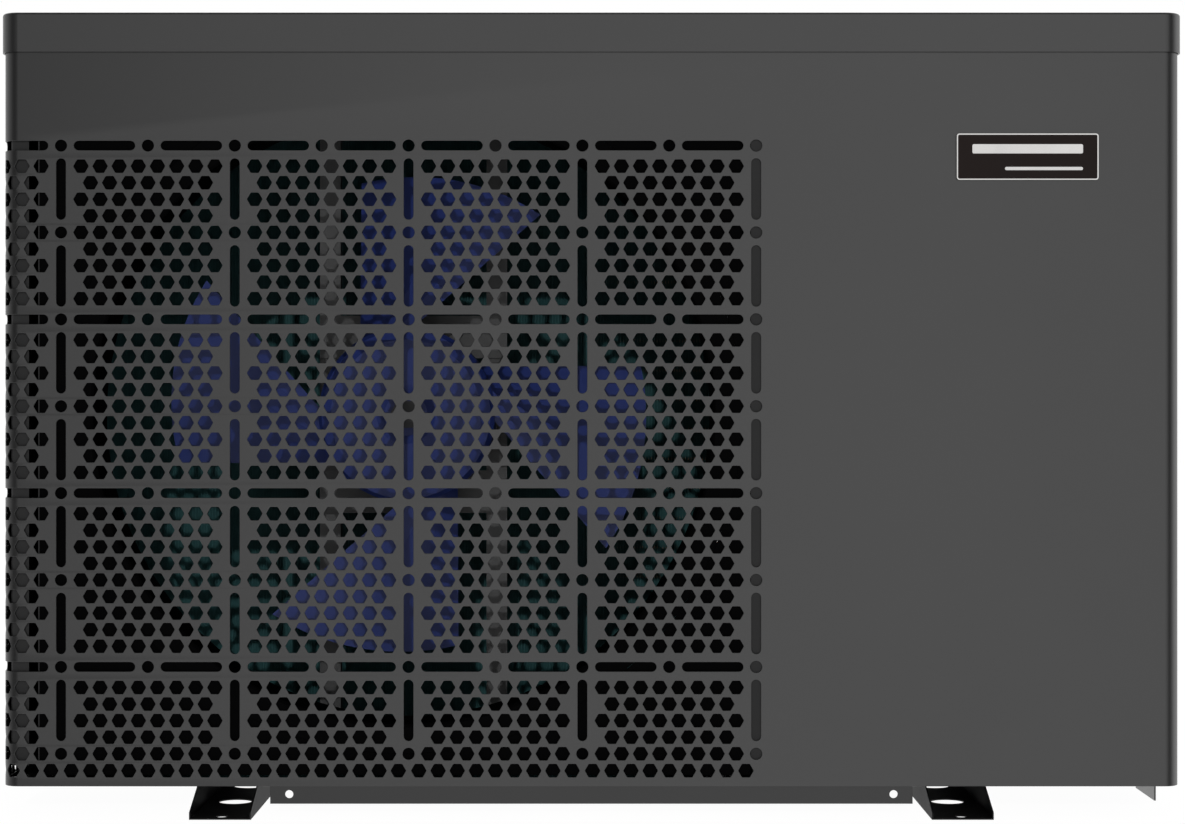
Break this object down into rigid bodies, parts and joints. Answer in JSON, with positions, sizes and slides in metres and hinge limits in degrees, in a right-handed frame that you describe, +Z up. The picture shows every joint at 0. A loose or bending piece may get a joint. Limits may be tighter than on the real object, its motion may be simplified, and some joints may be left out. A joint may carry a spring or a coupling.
{
  "type": "pool heat pump unit",
  "caption": "Side-discharge pool heat pump: dark sheet-metal cabinet with a hexagon-perforated grille over the fan, lid, channel feet and water unions on one side.",
  "frame": {"origin": "on the ground at the centre of the four foot bolt holes", "axes": "+Z up, front grille towards -Y, water unions towards +X"},
  "size_m": [0.9109, 0.349, 0.59],
  "materials": {
    "pan": "satin",
    "foot": "satin",
    "cabinet": "fine textured powder coat",
    "guard": "matte",
    "inner_steel": "galvanised",
    "black_plastic": "matte",
    "motor_shell": "satin",
    "steel": "zinc plated",
    "fan_plastic": "matte",
    "fins": "hydrophilic coating",
    "copper": "bare copper",
    "black_shell": "gloss",
    "rubber": "matte",
    "titanium": "bare",
    "union_plastic": "semi-gloss",
    "brass": "bare",
    "board": "satin",
    "heat_sink": "bare",
    "needle": "satin",
    "lens": "clear",
    "screen": "gloss",
    "smoke_plastic": "gloss",
    "key": "matte",
    "badge": "gloss"
  },
  "bodies": {
    "cabinet": {"base_pan": "pan", "foot_left": "foot", "foot_right": "foot", "front_panel": "cabinet", "left_side_panel": "cabinet", "right_side_panel": "cabinet", "rear_panel": "cabinet", "rear_guard": "guard", "top_lid": "cabinet", "front_left_post": "inner_steel", "partition_panel": "inner_steel", "fan_ring": "black_plastic", "fan_shroud": "black_plastic", "coil_end_cover": "black_plastic", "motor_bracket": "inner_steel", "fan_motor": "motor_shell", "evaporator_fins": "fins", "evaporator_end_plates": "inner_steel", "evaporator_return_bends": "copper", "compressor": "black_shell", "accumulator": "black_shell", "compressor_base_plate": "inner_steel", "compressor_mounts": "rubber", "exchanger_vessel": "black_plastic", "exchanger_bands": "steel", "titanium_coil": "titanium", "inlet_union_tail": "union_plastic", "outlet_union_tail": "union_plastic", "four_way_valve": "brass", "expansion_valve": "brass", "filter_drier": "copper", "discharge_pipe": "copper", "suction_pipe": "copper", "liquid_pipe": "copper", "electrical_box": "inner_steel", "electrical_box_cover": "inner_steel", "control_board": "board", "heat_sink": "heat_sink", "wiring_cover": "black_plastic", "terminal_block": "black_plastic", "cable_glands": "black_plastic", "gauge_case": "steel", "gauge_lens": "lens", "controller_base": "black_plastic", "controller_screen": "screen", "badge_plate": "badge", "drain_nipple": "black_plastic", "lid_screws": "steel", "panel_screws": "steel"},
    "fan": {"motor_shaft": "steel", "fan_impeller": "fan_plastic", "fan_nut": "black_plastic"},
    "inlet_nut": {"inlet_union_nut": "union_plastic"},
    "outlet_nut": {"outlet_union_nut": "union_plastic"},
    "needle": {"gauge_needle": "needle"},
    "flap": {"controller_flap": "smoke_plastic"},
    "key_down": {"key_down": "key"},
    "key_power": {"key_power": "key"},
    "key_up": {"key_up": "key"}
  },
  "joints": [
    {"name": "fan_spin", "type": "hinge", "parent": "cabinet", "child": "fan", "pos_m": [-0.1385, -0.1, 0.295], "axis": [0, 1, 0], "continuous": true},
    {"name": "inlet_nut_turn", "type": "hinge", "parent": "cabinet", "child": "inlet_nut", "pos_m": [0.45, 0.066, 0.11], "axis": [1, 0, 0], "continuous": true},
    {"name": "outlet_nut_turn", "type": "hinge", "parent": "cabinet", "child": "outlet_nut", "pos_m": [0.45, 0.066, 0.33], "axis": [1, 0, 0], "continuous": true},
    {"name": "needle_turn", "type": "hinge", "parent": "cabinet", "child": "needle", "pos_m": [0.4357, 0.066, 0.49], "axis": [1, 0, 0], "range_deg": [-100, 120], "stiffness_Nm_per_rad": 0.002},
    {"name": "flap_hinge", "type": "hinge", "parent": "cabinet", "child": "flap", "pos_m": [0.4401, -0.06, 0.5424], "axis": [0, -1, 0], "range_deg": [0, 100]},
    {"name": "key_down_press", "type": "slide", "parent": "cabinet", "child": "key_down", "axis": [-1, 0, 0], "range_m": [0, 0.001], "stiffness_N_per_m": 400},
    {"name": "key_power_press", "type": "slide", "parent": "cabinet", "child": "key_power", "axis": [-1, 0, 0], "range_m": [0, 0.001], "stiffness_N_per_m": 400},
    {"name": "key_up_press", "type": "slide", "parent": "cabinet", "child": "key_up", "axis": [-1, 0, 0], "range_m": [0, 0.001], "stiffness_N_per_m": 400}
  ]
}
